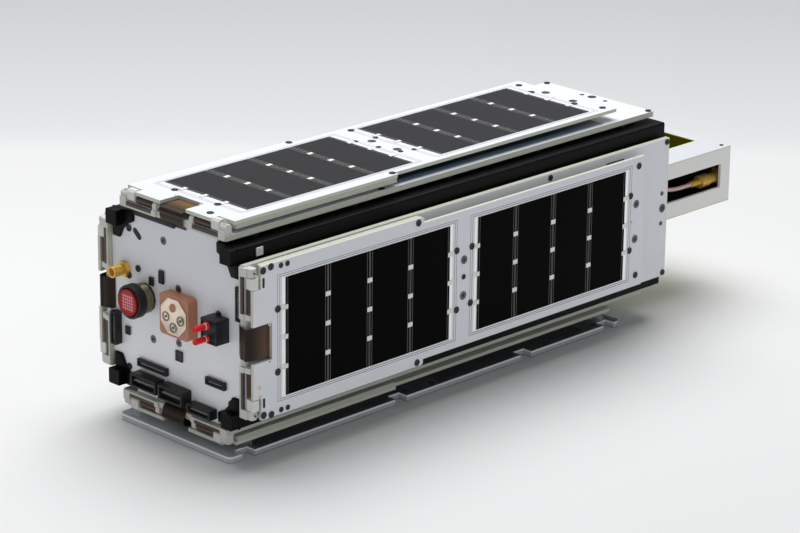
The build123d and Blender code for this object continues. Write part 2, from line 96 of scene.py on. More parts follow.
# Layers of each long side, outward from the axis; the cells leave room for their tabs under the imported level
PANEL_THICK = 3.2 * MM
TAB_RISE = 0.18 * MM
RAIL_FACE = face_of("rail_top_left")
PANEL_OUT = face_of("panel_top")
PANEL_IN = PANEL_OUT - PANEL_THICK
BOARD_OUT = face_of("wing_board_top")
CELL_FACE = face_of("wing_cells_top") - TAB_RISE

# Stations along the body and half widths across it
PLATE_X = span("end_plate_near", 0)[0]
BOARD_X = span("wing_board_top", 0)
CELLS_X = span("wing_cells_top", 0)
CELL_HALF = span("wing_cells_top", 1)[1]
PANEL_HALF = span("panel_top", 1)[1]

# Far edge of the notch in each wing board, where the flexible circuit is soldered
BOARD_NOTCH_X = -150.2 * MM

# Where the wings step in to their narrower far part
WING_STEP_X = -41.0 * MM

# Hinge axis, outer blocks and strip of the base, and springs: radius, and stretch along the hinge
HINGE_X, HINGE_H = next(
    (joint["pos_m"][0], joint["pos_m"][2] - AXIS_Z)
    for joint in frame["joints"] if joint["name"] == "wing_top_hinge"
)
BLOCK_OUT = face_of("hinge_base_top")
BLOCK_MID = span("hinge_base_top", 1)[1] - 2.4 * MM
STRIP_BASE = span("hinge_base_top", 2)[0] - AXIS_Z
SPRING_R = span("hinge_springs", 1)[1] - HINGE_H
SPRING_SPAN = (16.2 * MM, 30.2 * MM)

# Flexible circuit: half width
FLEX_HALF = span("flex_strip_top", 1)[1]

# Button's lens, and the header's plugs: radius, and height of each above or below the pair's middle
LENS_R = extent("button_lens", 1) / 2
PLUG_R = 1.7 * MM
PLUG_RISE = extent("header_plugs", 2) / 2 - PLUG_R


class SatelliteSizes(bpy.types.PropertyGroup):
    """Sizes of the small fittings."""

    cell_length: bpy.props.FloatProperty(
        name="Cell length", description="Solar cell along the wing", default=30.0 * MM, unit="LENGTH")
    cell_gap: bpy.props.FloatProperty(
        name="Cell gap", description="Gap between two cells", default=0.7 * MM, unit="LENGTH")
    group_gap: bpy.props.FloatProperty(
        name="Group gap", description="Gap between the two cell groups", default=21.8 * MM, unit="LENGTH")
    tab_length: bpy.props.FloatProperty(
        name="Tab length", description="Welded tab across a cell gap", default=3.6 * MM, unit="LENGTH")
    tab_width: bpy.props.FloatProperty(
        name="Tab width", description="Welded tab along a cell gap", default=2.6 * MM, unit="LENGTH")
    wire: bpy.props.FloatProperty(
        name="Spring wire", description="Wire of the torsion springs", default=0.70 * MM, unit="LENGTH")
    ribbon: bpy.props.FloatProperty(
        name="Ribbon thickness", description="Flexible circuit over each hinge", default=0.24 * MM,
        unit="LENGTH")


class SatelliteColours(bpy.types.PropertyGroup):
    """Base colours, linear."""

    mask: bpy.props.FloatVectorProperty(
        name="Solder mask", description="White face of the boards", size=3, subtype="COLOR",
        default=(0.80, 0.815, 0.86))
    laminate: bpy.props.FloatVectorProperty(
        name="Laminate", description="Bare edges of the boards", size=3, subtype="COLOR",
        default=(0.50, 0.515, 0.43))
    cell: bpy.props.FloatVectorProperty(
        name="Cell", description="Solar cell under its cover glass", size=3, subtype="COLOR",
        default=(0.0016, 0.0014, 0.0014))
    rail: bpy.props.FloatVectorProperty(
        name="Rail", description="Black anodised aluminium", size=3, subtype="COLOR",
        default=(0.0016, 0.0016, 0.0018))
    film: bpy.props.FloatVectorProperty(
        name="Film", description="Flexible circuit", size=3, subtype="COLOR", default=(0.16, 0.075, 0.035))
    lens: bpy.props.FloatVectorProperty(
        name="Lens", description="Push button's lens", size=3, subtype="COLOR", default=(0.42, 0.008, 0.014))
    ceramic: bpy.props.FloatVectorProperty(
        name="Ceramic", description="Antenna block", size=3, subtype="COLOR", default=(0.48, 0.20, 0.115))
    floor: bpy.props.FloatVectorProperty(
        name="Floor", description="Studio floor", size=3, subtype="COLOR", default=(0.725, 0.725, 0.725))


def maths(operation, swapped=False):
    """Method that puts a wire and other values through a Math node; swapped puts the wire last."""
    def method(wire, *others):
        values = (*others, wire) if swapped else (wire, *others)
        return wire.shader.node("ShaderNodeMath", {"operation": operation}, dict(enumerate(values)))
    return method


class Wire:
    """A socket of a material, so that shader maths reads as ordinary expressions."""

    def __init__(self, shader, socket):
        self.shader = shader
        self.socket = socket

    __add__ = maths("ADD")
    __radd__ = maths("ADD", swapped=True)
    __sub__ = maths("SUBTRACT")
    __rsub__ = maths("SUBTRACT", swapped=True)
    __mul__ = maths("MULTIPLY")
    __rmul__ = maths("MULTIPLY", swapped=True)
    __truediv__ = maths("DIVIDE")
    __rtruediv__ = maths("DIVIDE", swapped=True)
    __pow__ = maths("POWER")
    __rpow__ = maths("POWER", swapped=True)
    __lt__ = maths("LESS_THAN")
    __gt__ = maths("GREATER_THAN")
    __abs__ = maths("ABSOLUTE")
    fraction = maths("FRACT")
    sine = maths("SINE")
    least = maths("MINIMUM")
    most = maths("MAXIMUM")

    def clamped(self):
        return self.most(0.0).least(1.0)

    def wave(self, length):
        """Wave between 0 and 1; its crests lie length times 2 pi apart."""
        return (self / length).sine() * 0.5 + 0.5

    def ramp(self, start=0.0, end=1.0):
        """Soft climb from 0 to 1 between two values."""
        return self.shader.node("ShaderNodeMapRange", {"interpolation_type": "SMOOTHSTEP"}, {
            "Value": self, "From Min": start, "From Max": end})


class Shader:
    """A new material on the Principled shader, with short calls for its nodes."""

    def __init__(self, name, **fixed):
        self.material = bpy.data.materials.new(name)
        self.material.use_nodes = True
        self.tree = self.material.node_tree
        self.surface = self.tree.nodes["Principled BSDF"]
        for socket, value in fixed.items():
            self.surface.inputs[socket.replace("_", " ")].default_value = value

    def node(self, kind, settings=None, inputs=None, output=0):
        made = self.tree.nodes.new(kind)
        for key, value in (settings or {}).items():
            setattr(made, key, value)
        for key, value in (inputs or {}).items():
            self.feed(made.inputs[key], value)
        return Wire(self, made.outputs[output])

    def feed(self, socket, value):
        if isinstance(value, Wire):
            self.tree.links.new(value.socket, socket)
        elif socket.type == "RGBA" and len(value) == 3:
            socket.default_value = (*value, 1.0)
        else:
            socket.default_value = value

    def done(self, colour, rough, height=None, depth=0.0, **more):
        """Feed the surface's sockets, a height through a Bump node, and return the material."""
        if height is not None:
            more["Normal"] = self.node("ShaderNodeBump", inputs={"Height": height, "Distance": depth})
        for name, value in {"Base Color": colour, "Roughness": rough, **more}.items():
            self.feed(self.surface.inputs[name], value)
        return self.material

    def place(self):
        return self.node("ShaderNodeTexCoord", output="Object")

    def xyz(self):
        split = self.node("ShaderNodeSeparateXYZ", inputs={0: self.place()}).socket.node
        return [Wire(self, socket) for socket in split.outputs]

    def side(self, place):
        """Distance along the body, across the side and outward from the axis."""
        x, y, z = self.xyz()
        z = z - AXIS_Z
        return {"top": (x, y, z), "right": (x, z, -1 * y), "bottom": (x, -1 * y, -1 * z),
                "left": (x, -1 * z, y)}[place]

    def noise(self, size, detail=3.0, rough=0.5, stretch=(1, 1, 1)):
        """Noise whose blobs are about size metres across; stretch lengthens them along an axis."""
        scaled = self.node("ShaderNodeMapping", inputs={
            "Vector": self.place(), "Scale": tuple(1 / (size * axis) for axis in stretch)})
        return self.node("ShaderNodeTexNoise", inputs={
            "Vector": scaled, "Scale": 1.0, "Detail": detail, "Roughness": rough})

    def blend(self, first, second, factor):
        return self.node("ShaderNodeMix", {"data_type": "RGBA"}, {0: factor, 6: first, 7: second}, output=2)

    def over(self, colour, *layers):
        """Colour with layers painted over it in turn, each a paint and how much of it shows."""
        for layer, share in layers:
            colour = self.blend(colour, layer, share)
        return colour


def shade(colour, factor):
    return tuple(channel * factor for channel in colour)


def base_colour(name):
    return tuple(getattr(bpy.context.scene.satellite_colours, name))


def sizes():
    return bpy.context.scene.satellite_sizes


def cell_groups():
    """Middle of each cell group along the wing, half a group's length, and the step from cell to cell."""
    half = (CELLS_X[1] - CELLS_X[0] - sizes().group_gap) / 4
    pitch = sizes().cell_length + sizes().cell_gap
    return (CELLS_X[0] + half, CELLS_X[1] - half), half, pitch


# White boards: blobs of their slow mottle, size of their fine grain, and depth of that grain
MOTTLE = 9 * MM
GRAIN = 0.5 * MM
GRAIN_DEPTH = 0.02 * MM


def board_surface(shader, colour, mottle, fine, silver=0.0):
    """Satin sheen and fine grain of a white board."""
    return shader.done(colour, mottle * 0.12 + 0.34, fine, GRAIN_DEPTH, Metallic=silver)


def side_board(kind, place, outer, print_on):
    """White mask with a print of its own, over laminate that shows its layers on the cut edges."""
    mask, bare = base_colour("mask"), base_colour("laminate")
    shader = Shader(f"{kind}_{place}", IOR=1.45)
    mottle = shader.noise(MOTTLE)
    fine = shader.noise(GRAIN, 2)
    x, across, level = shader.side(place)
    colour = shader.blend(mask, shade(mask, 0.93), mottle)
    colour, silver = print_on(shader, colour, x, across)
    cut = shader.blend(bare, shade(bare, 1.5), level.wave(0.42 * MM) * 0.35 + fine * 0.3)
    colour = shader.blend(colour, cut, level < outer - 0.12 * MM)
    # Painted shade: below its inner face the panel is near black, for the shaded gap between panel and rail
    if kind == "panel":
        colour = shader.blend(colour, (0.01, 0.01, 0.01), level < PANEL_IN - 0.05 * MM)
    return board_surface(shader, colour, mottle, fine, silver)


# Printed double line round each cell group: how far outside the cells along and across, and its width
FRAME_LINES = ((4.0 * MM, 1.1 * MM), (5.5 * MM, 2.2 * MM))
LINE_WIDTH = 0.34 * MM


def wing_print(shader, colour, x, across):
    """Printed frames, silver bands and dark bed of the two cell groups, and where the silver is."""
    centres, half, pitch = cell_groups()
    silver = 0.0
    for centre in centres:
        along = abs(x - centre) - half
        aside = abs(across) - CELL_HALF
        band = (along < 2.3 * MM) * (aside < 0.3 * MM)
        reach = along.most(aside)
        silver = band * 0.75 * (reach > 0.0) + silver
        colour = shader.over(colour, ((0.97, 0.975, 0.98), band), ((0.03, 0.03, 0.032), reach < 0.0))
        for off_x, off_y in FRAME_LINES:
            line = abs((along - off_x).most(aside - off_y)) < LINE_WIDTH / 2
            colour = shader.blend(colour, (0.10, 0.105, 0.13), line * 0.85)
    return colour, silver


def painted_wing_shade(shader, colour, x, across):
    """Painted shade and dark reflection under the narrow part of the top wing: blue that deepens to navy."""
    under = (PANEL_HALF - abs(across)) / (6.5 * MM)
    field = (x > WING_STEP_X) * (x < BOARD_X[1] - 12 * MM)
    # Painted shade: pale blue near the panel's edge, navy deeper under the wing
    return shader.over(
        colour,
        ((0.13, 0.23, 0.34), ((under - 0.2) * 2).most(0.0).least(0.85) * field),
        ((0.02, 0.034, 0.075), ((under - 1.05) * 2.5).clamped() * field)), 0.0


def plain(shader, colour, x, across):
    return colour, 0.0


def wing_board(place):
    return side_board("wing_board", place, BOARD_OUT, wing_print)


def panel(place):
    return side_board("panel", place, PANEL_OUT, painted_wing_shade if place == "top" else plain)


def plate_board():
    """White mask of the end plates, with painted light that makes it a little paler towards the foot."""
    shader = Shader("plate_white", IOR=1.45)
    x, y, z = shader.xyz()
    mottle = shader.noise(MOTTLE)
    # Painted light: paler and bluer towards the foot
    low = z.ramp(AXIS_Z + 38 * MM, AXIS_Z - 42 * MM)
    colour = shader.blend(shade(base_colour("mask"), 0.97), (0.98, 0.99, 1.0), low * 0.85 + mottle * 0.15)
    return board_surface(shader, colour, mottle, shader.noise(GRAIN, 2))


# Payload box: depth behind the outer faces at which its inside is painted black, a painted shade
BOX_WALL = 1.9 * MM


def box_white():
    """Payload box: white mask outside, warm grey walls painted paler than the top as painted light, black
    inside as painted shade, and a bare edge round the pane.
    """
    mask = base_colour("mask")
    low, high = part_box("payload_bottom")
    top = span("payload_top", 2)[1]
    shader = Shader("box_white", IOR=1.45)
    x, y, z = shader.xyz()
    mottle = shader.noise(MOTTLE)
    # Painted light: the walls' warm grey is painted paler than the top's white
    wall = z < top - 0.1 * MM
    bare = ((z > top - 0.5 * MM) * wall).most(z < low[2] + 0.5 * MM)
    pane = (abs(x - middle("payload_pane", 0)) - extent("payload_pane", 0) / 2).most(
        abs(y) - span("payload_pane", 1)[1])
    # Painted shade: the inside, behind the outer faces, is painted black
    inside = ((abs(y) < high[1] - BOX_WALL) * (z > low[2] + BOX_WALL)
              * (z < top - BOX_WALL) * (x < high[0] - BOX_WALL))
    colour = shader.over(
        shader.blend(shade(mask, 0.80), shade(mask, 0.75), mottle),
        (shader.blend((0.88, 0.88, 0.84), (0.82, 0.82, 0.78), mottle), wall),
        ((0.55, 0.58, 0.30), bare),
        ((0.66, 0.70, 0.36), (pane < 1.2 * MM) * (z > top - 1.5 * MM)),
        ((0.05, 0.05, 0.052), inside))
    return shader.done(colour, mottle * 0.12 + 0.36, mottle, GRAIN_DEPTH)


def solar_cell(place):
    """Dark cell under cover glass, with bright rims and a bus line at each end; the top mirrors more, and its
    copy is painted far paler as a painted reflection of the sky.
    """
    lit = place == "top"
    shader = Shader(f"solar_cell_{place}", IOR=1.45, Specular_IOR_Level=0.08 if lit else 0.02)
    x, across, level = shader.side(place)
    centres, half, pitch = cell_groups()
    start = (x < sum(centres) / 2) * (centres[0] - centres[1]) + (centres[1] - half)
    inside = ((x - start) / pitch).fraction() * pitch
    edge = inside.least(sizes().cell_length - inside)
    rim = edge < 0.16 * MM
    contact = abs(edge - 1.5 * MM) < 0.15 * MM
    speck = shader.noise(14 * MM, 4, 0.6)
    # Painted reflection: the top cells' base and lines are paler copies of the side cells'
    base = (0.0272, 0.0272, 0.0289) if lit else base_colour("cell")
    line = (0.28, 0.28, 0.266) if lit else (0.20, 0.20, 0.19)
    colour = shader.over(
        base, (shade(base, 1.5), speck * 0.6 + across.wave(0.55 * MM) * 0.25),
        (line, contact * 0.8), (shade(line, 1.6), rim * 0.85))
    return shader.done(colour, speck * 0.10 + 0.20, speck, 0.02 * MM)


def bar_laminate(place):
    """Bare glass-fibre laminate with faint layers."""
    base = base_colour("laminate")
    shader = Shader(f"bar_laminate_{place}", IOR=1.45)
    x, across, level = shader.side(place)
    fibre = shader.noise(1.2 * MM, 4, stretch=(6, 6, 1))
    colour = shader.blend(shade(base, 0.78), shade(base, 1.32), level.wave(0.2 * MM) * 0.5 + fibre * 0.5)
    return shader.done(colour, fibre * 0.2 + 0.42, fibre, 0.03 * MM)


def anodised():
    """Black anodised aluminium with a fine lengthwise grain."""
    base = base_colour("rail")
    shader = Shader("black_anodised", IOR=1.4, Specular_IOR_Level=0.13)
    grain = shader.noise(0.8 * MM, 4, 0.6, stretch=(30, 1, 1))
    cloud = shader.noise(25 * MM, 2)
    colour = shader.blend(base, shade(base, 3.0), grain * 0.5 + cloud * 0.3)
    return shader.done(colour, grain * 0.16 + 0.33, grain, 0.015 * MM)


def moulded(name, base, rough, gloss=1.45, depth=0.03 * MM):
    """Moulded plastic with a fine stipple."""
    shader = Shader(name, IOR=gloss)
    stipple = shader.noise(0.35 * MM)
    cloud = shader.noise(7 * MM, 2)
    colour = shader.blend(shade(base, 0.86), shade(base, 1.16), cloud * 0.6 + stipple * 0.4)
    return shader.done(colour, stipple * 0.14 + rough, stipple, depth)


def metal(name, base, rough, grain=(1, 1, 1), metallic=1.0):
    """Bare or plated metal with fine scratches and slight tarnish."""
    shader = Shader(name, Metallic=metallic)
    scratch = shader.noise(0.5 * MM, 4, 0.65, stretch=grain)
    tarnish = shader.noise(4 * MM)
    colour = shader.blend(shade(base, 0.72), base, tarnish * 0.7 + scratch * 0.3)
    return shader.done(colour, scratch * 0.2 + rough, scratch, 0.01 * MM)


def gold_thread():
    """Bright gold with a fine thread along the body, its crests painted paler and its grooves darker as
    painted light and shade.
    """
    shader = Shader("gold_thread", Metallic=0.4)
    x, y, z = shader.xyz()
    ridge = x.wave(0.7 * MM / math.tau)
    scratch = shader.noise(0.6 * MM)
    # Painted light and shade: paler gold on the thread's crests, darker in its grooves
    colour = shader.blend((0.76, 0.36, 0.04), (1.0, 0.72, 0.17), ridge * 0.6 + scratch * 0.4)
    return shader.done(colour, scratch * 0.15 + 0.16, ridge, 0.12 * MM)


def flex_film(place):
    """Copper-backed film with tracks that run over the hinge, with painted light and shade: paler on the
    board, the top side's copy paler still, dark round the bend and at its end by the notch's far edge.
    """
    base = base_colour("film")
    shader = Shader(f"flex_film_{place}", IOR=1.4, Specular_IOR_Level=0.25)
    x, across, level = shader.side(place)
    track = abs((across / (1.25 * MM)).fraction() - 0.5) < 0.3
    cloud = shader.noise(3 * MM)
    flat = ((x - HINGE_X + 0.5 * MM) / (8 * MM)).clamped()
    gold = (0.5 - across / (2 * FLEX_HALF)).clamped()
    # Painted light: the top side's copy is paler than the darker sides', with a stronger yellow sweep across
    # it
    rose = shade(base, 1.35) if place == "top" else (0.105, 0.062, 0.045)
    lit = shader.blend(rose, (0.24, 0.15, 0.02), gold ** 2 * (0.9 if place == "top" else 0.2))
    # Painted shade: near black round the bend and at the end by the notch's far edge
    colour = shader.over(
        (0.016, 0.008, 0.005), (lit, flat * 0.92 + cloud * 0.05),
        (shade(base, 0.3), track * 0.3), ((0.008, 0.007, 0.007), x > BOARD_NOTCH_X - 2.0 * MM))
    return shader.done(colour, cloud * 0.15 + 0.32, track, 0.02 * MM)


def hinge_base(place):
    """Cream knuckles and blocks on a dark strip with a bare upper edge."""
    shader = Shader(f"hinge_base_{place}", IOR=1.45)
    x, across, level = shader.side(place)
    stipple = shader.noise(0.4 * MM)
    cloud = shader.noise(5 * MM, 2)
    cream = shader.blend((0.56, 0.555, 0.51), (0.74, 0.735, 0.69), cloud * 0.6 + stipple * 0.4)
    dark = shader.blend((0.035, 0.022, 0.017), (0.075, 0.05, 0.04), cloud)
    far = abs(across)
    knuckle = (abs(far - (SPRING_SPAN[0] - 1.5 * MM)) < 1.6 * MM).most(far > SPRING_SPAN[1] + 6.6 * MM)
    ledge = level < STRIP_BASE + 1.1 * MM
    colour = shader.over(dark, (shade(base_colour("laminate"), 1.1), ledge), (cream, knuckle))
    return shader.done(colour, stipple * 0.14 + 0.35, stipple, 0.03 * MM)


# Half width of the stand's plate on which the body's shadow and dark reflection are painted
STAND_SHADE = 60 * MM


def acrylic():
    """Clear cast sheet: see-through faces, and cut edges that gather the light, with a painted highlight along
    their top and a painted dark line at their foot; the body's shadow and dark reflection are painted on the
    face under it.
    """
    shader = Shader("clear_acrylic", IOR=1.49, Coat_Roughness=0.03)
    x, y, z = shader.xyz()
    low, high = span("stand_plate", 2)
    haze = shader.noise(12 * MM)
    saw = shader.noise(0.8 * MM, stretch=(1, 1, 12))
    wall = (abs(z - (low + high) / 2) < (high - low) / 2 - 0.12 * MM) * (z < high)
    # Painted highlight along the top of the cut edges, and a painted dark line at their foot
    bright = abs(z - (high - 0.75 * MM)) < 0.55 * MM
    foot = abs(z - (low + 0.45 * MM)) < 0.25 * MM
    # Painted shadow and dark reflection of the body, fading towards the rims and the near end
    aside = ((STAND_SHADE - abs(y)) / (7 * MM)).clamped()
    ahead = ((x - PLATE_X + 12 * MM) / (32 * MM)).clamped()
    core = aside * ahead * (1 - wall) * (z < high + 0.1 * MM)
    face = shader.over((0.74, 0.79, 0.82), ((0.84, 0.88, 0.90), haze), ((0.012, 0.013, 0.014), core))
    side = shader.over((0.58, 0.61, 0.64), ((0.80, 0.83, 0.86), saw), ((0.97, 0.98, 1.0), bright),
                       ((0.28, 0.31, 0.35), foot * 0.7))
    glow = wall * 0.55 + bright * wall * 0.25 + core * 0.62
    return shader.done(shader.blend(face, side, wall), haze * 0.05 + 0.05, saw, 0.01 * MM,
                       Alpha=(glow + haze * 0.06 + 0.14).least(1.0))


# Pitch of the square grid in the lens
LENS_PITCH = 1.75 * MM


def red_lens():
    """Red lens moulded with a fine square grid."""
    base = base_colour("lens")
    shader = Shader("red_lens", IOR=1.49, Specular_IOR_Level=0.2, Coat_Weight=0.06, Coat_Roughness=0.1)
    x, y, z = shader.xyz()
    off_y = y - middle("button_lens", 1)
    off_z = z - middle("button_lens", 2)
    cut = abs((off_y / LENS_PITCH).fraction() - 0.5).most(abs((off_z / LENS_PITCH).fraction() - 0.5))
    grid = (cut > 0.34) * (abs(off_y).most(abs(off_z)) < 2.5 * LENS_PITCH)
    rim = (off_y ** 2 + off_z ** 2) ** 0.5 > 6.6 * MM
    colour = shader.over(base, ((0.88, 0.42, 0.44), grid * 0.75), (shade(base, 0.6), rim))
    return shader.done(colour, (cut > 0.34) * 0.2 + 0.25, grid, -0.05 * MM)


def floor_paint():
    """White matt floor with painted light and shade: a little paler to the left and greyer with distance
    behind the stand.
    """
    base = base_colour("floor")
    shader = Shader("studio_floor", IOR=1.3, Specular_IOR_Level=0.1)
    x, y, z = shader.xyz()
    cloud = shader.noise(0.5, 2)
    depth = (x + y) * math.sqrt(0.5)
    aside = (y - x) * math.sqrt(0.5)
    wall = ((depth - 0.40) / 0.42).clamped()
    grey = wall ** 0.6 * wall.ramp(0.0, 0.12) * 0.96 + cloud * 0.04
    # Painted light and shade: paler to the left, darker and greyer with distance
    colour = shader.over(
        shade(base, 0.955), (shade(base, 1.035), aside.ramp(-0.25, 0.35)),
        (shade(base, 0.88), depth.ramp(0.05, 0.48) * 0.9), ((0.445, 0.452, 0.462), grey))
    return shader.done(colour, cloud * 0.1 + 0.65)


# Plastics: colour, roughness, and the index of refraction where it isn't 1.45
PLASTICS = {
    "hinge_cream": ((0.74, 0.735, 0.69), 0.35),
    "black_plastic": ((0.007, 0.007, 0.008), 0.38, 1.42),
    "red_plastic": ((0.80, 0.012, 0.022), 0.28),
    "olive_pane": ((0.024, 0.020, 0.0005), 0.5, 1.02),
    "pink_jacket": ((0.90, 0.62, 0.58), 0.3),
    "dark_stack": ((0.012, 0.016, 0.014), 0.5),
    "dark_hole": ((0.012, 0.012, 0.016), 0.5),
    "peach_pad": ((0.78, 0.56, 0.38), 0.4),
    "grey_switch": ((0.62, 0.62, 0.60), 0.45),
}

# Metals: colour, roughness, stretch of the scratches, and share of metal
METALS = {
    "spring_steel": ((0.20, 0.13, 0.11), 0.28),
    "pin_steel": ((0.62, 0.62, 0.62), 0.22, (1, 20, 1)),
    "screw_steel": ((0.060, 0.062, 0.070), 0.3),
    "tab_silver": ((0.95, 0.945, 0.92), 0.34, (1, 1, 1), 0.35),
    "bushing": ((0.30, 0.29, 0.20), 0.3),
    "cream_metal": ((0.97, 0.84, 0.72), 0.38),
    "dark_ring": ((0.16, 0.16, 0.175), 0.3),
}

# Finishes that one function each makes, and those that each of the four sides has for itself
SINGLE = {
    "black_anodised": anodised,
    "plate_white": plate_board,
    "box_white": box_white,
    "clear_acrylic": acrylic,
    "gold_thread": gold_thread,
    "red_lens": red_lens,
    "copper_ceramic": lambda: moulded("copper_ceramic", base_colour("ceramic"), 0.35, depth=0.04 * MM),
    "studio_floor": floor_paint,
}
BY_SIDE = {
    "wing_board": wing_board,
    "panel": panel,
    "solar_cell": solar_cell,
    "bar_laminate": bar_laminate,
    "flex_film": flex_film,
    "hinge_base": hinge_base,
}

# Materials made so far
MADE = {}


def finish(name):
    """Material of that name, made on first use."""
    if name not in MADE:
        kind, _, place = name.rpartition("_")
        if name in PLASTICS:
            MADE[name] = moulded(name, *PLASTICS[name])
        elif name in METALS:
            MADE[name] = metal(name, *METALS[name])
        elif kind in BY_SIDE:
            MADE[name] = BY_SIDE[kind](place)
        else:
            MADE[name] = SINGLE[name]()
    return MADE[name]


def dress(node, name):
    """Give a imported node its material."""
    obj = frame["nodes"][node]
    obj.data.materials.clear()
    obj.data.materials.append(finish(name))


def only(obj):
    """Object mode with just this object selected."""
    if bpy.context.object and bpy.context.object.mode != "OBJECT":
        bpy.ops.object.mode_set(mode="OBJECT")
    bpy.ops.object.select_all(action="DESELECT")
    if obj:
        obj.select_set(True)
        bpy.context.view_layer.objects.active = obj


def edit(choice="SELECT", kind="FACE"):
    """Edit mode on the active object, with all of it selected or none."""
    bpy.ops.object.mode_set(mode="EDIT")
    bpy.ops.mesh.select_mode(type=kind)
    bpy.ops.mesh.select_all(action=choice)


def extrude(x, y, z):
    """Extrude the selected part by a vector and leave edit mode."""
    bpy.ops.mesh.extrude_region_move(TRANSFORM_OT_translate={"value": (x, y, z)})
    bpy.ops.object.mode_set(mode="OBJECT")


def weld():
    """Join the selected part's doubled points."""
    bpy.ops.mesh.remove_doubles(threshold=0.001 * MM)


def settle(name, material):
    """Name the new primitive, move its place into its mesh and give it a material."""
    obj = bpy.context.object
    obj.name = obj.data.name = name
    bpy.ops.object.transform_apply(location=True, rotation=True, scale=True)
    obj.data.materials.clear()
    obj.data.materials.append(finish(material))
    return obj


def block(name, size, at, material):
    only(None)
    bpy.ops.mesh.primitive_cube_add(size=1, location=at, scale=size)
    return settle(name, material)


def drum(name, radius, depth, foot, material, sides=28):
    """Upright cylinder whose lower end stands at a level."""
    only(None)
    bpy.ops.mesh.primitive_cylinder_add(
        vertices=sides, radius=radius, depth=depth, location=(0, 0, foot + depth / 2))
    return settle(name, material)


def hoop(name, radius, wire, level, material, sides=28):
    only(None)
    bpy.ops.mesh.primitive_torus_add(
        major_radius=radius, minor_radius=wire, major_segments=sides, minor_segments=8,
        location=(0, 0, level))
    return settle(name, material)


def sink(obj, inset, depth, material=None):
    """Inset the top face and sink it; the sunk field may take a material."""
    only(obj)
    edit("DESELECT")
    bpy.ops.object.mode_set(mode="OBJECT")
    for face in obj.data.polygons:
        face.select = face.normal.z > 0.9
    bpy.ops.object.mode_set(mode="EDIT")
    bpy.ops.mesh.inset(thickness=inset)
    extrude(0, 0, -depth)
    if material:
        obj.data.materials.append(finish(material))
        for face in obj.data.polygons:
            if face.select:
                face.material_index = len(obj.data.materials) - 1
    return obj


def modify(kind, **settings):
    """Add a modifier to the active object with its settings, and apply it."""
    bpy.ops.object.modifier_add(type=kind)
    modifier = bpy.context.object.modifiers[-1]
    for key, value in settings.items():
        setattr(modifier, key, value)
    bpy.ops.object.modifier_apply(modifier=modifier.name)


def soften(obj, width, segments=2):
    """Round the sharp edges and smooth the rest."""
    only(obj)
    modify("BEVEL", width=width, segments=segments, limit_method="ANGLE",
           angle_limit=math.radians(35))
    bpy.ops.object.shade_smooth_by_angle(angle=math.radians(50))
    return obj


def joined(name, pieces):
    """One mesh from several."""
    only(None)
    for piece in pieces:
        piece.select_set(True)
    bpy.context.view_layer.objects.active = pieces[0]
    if len(pieces) > 1:
        bpy.ops.object.join()
    pieces[0].name = pieces[0].data.name = name
    return pieces[0]


def copies(model, name, places):
    """Copies of a small model at each place, each with its own mesh, joined as one piece."""
    made = []
    for place in places:
        twin = model.copy()
        twin.data = model.data.copy()
        twin.data.transform(place)
        bpy.context.collection.objects.link(twin)
        made.append(twin)
    return joined(name, made)


def spread(model, name, places, body="root", keep=False):
    """Copies of a model as one piece that rides on a body; the model goes unless it is kept."""
    piece = copies(model, name, places)
    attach(piece, body)
    if not keep:
        bpy.data.objects.remove(model)
    return piece


def on_side(place, x=0.0, across=0.0, level=0.0, spin=0.0):
    """Places a model that points outward on one of the long sides."""
    turn = Matrix.Rotation(math.radians(TURN[place]), 4, "X")
    local = Matrix.Translation((x, across, level)) @ Matrix.Rotation(spin, 4, "Z")
    return Matrix.Translation((0, 0, AXIS_Z)) @ turn @ local


def on_plate(y, z, spin=0.0, out=0.0):
    """Places a model that points outward on the near plate, across and up from the body's axis."""
    # The model's own X, Y and Z point to -Y, +Z and outward there
    axes = Matrix(((0, 0, -1), (-1, 0, 0), (0, 1, 0))).to_4x4()
    return Matrix.Translation((PLATE_X - out, y, AXIS_Z + z)) @ axes @ Matrix.Rotation(spin, 4, "Z")


def fitting(node):
    """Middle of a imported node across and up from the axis, and its extents across, up and outward."""
    return (middle(node, 1), middle(node, 2) - AXIS_Z,
            extent(node, 1), extent(node, 2), extent(node, 0))


def island_boxes(node):
    """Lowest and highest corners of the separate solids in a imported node, from the lowest upward."""
    twin = frame["nodes"][node].copy()
    twin.data = twin.data.copy()
    bpy.context.collection.objects.link(twin)
    only(twin)
    edit()
    weld()
    bpy.ops.mesh.separate(type="LOOSE")
    bpy.ops.object.mode_set(mode="OBJECT")
    boxes = []
    for part in list(bpy.context.selected_objects):
        points = [vertex.co for vertex in part.data.vertices]
        boxes.append(tuple(tuple(pick(point[axis] for point in points) for axis in range(3))
                           for pick in (min, max)))
        bpy.data.objects.remove(part)
    return sorted(boxes, key=lambda box: (round(box[0][2], 5), round(box[0][1], 5)))


# Small fittings, each modelled once at the origin with its foot on the ground


def screw_head(radius, height, material="screw_steel"):
    """Round head with a sunk socket."""
    head = drum("screw_head", radius, height, 0, material, sides=18)
    return soften(sink(head, radius * 0.45, height * 0.5, "dark_hole"), radius * 0.12)


def eyelet(radius, hole, material="dark_ring"):
    """Plated ring round a dark hole."""
    ring = drum("eyelet", radius, 0.16 * MM, 0, material, sides=22)
    return soften(sink(ring, radius - hole, 0.1 * MM, "dark_hole"), 0.04 * MM)


def plate_pad(width, height, thick, material, inset):
    """Flat pad with soft edges and a sunk field."""
    pad = block("pad", (width, height, thick), (0, 0, thick / 2), material)
    return soften(sink(pad, inset, thick * 0.4, material), min(thick * 0.45, 0.3 * MM))


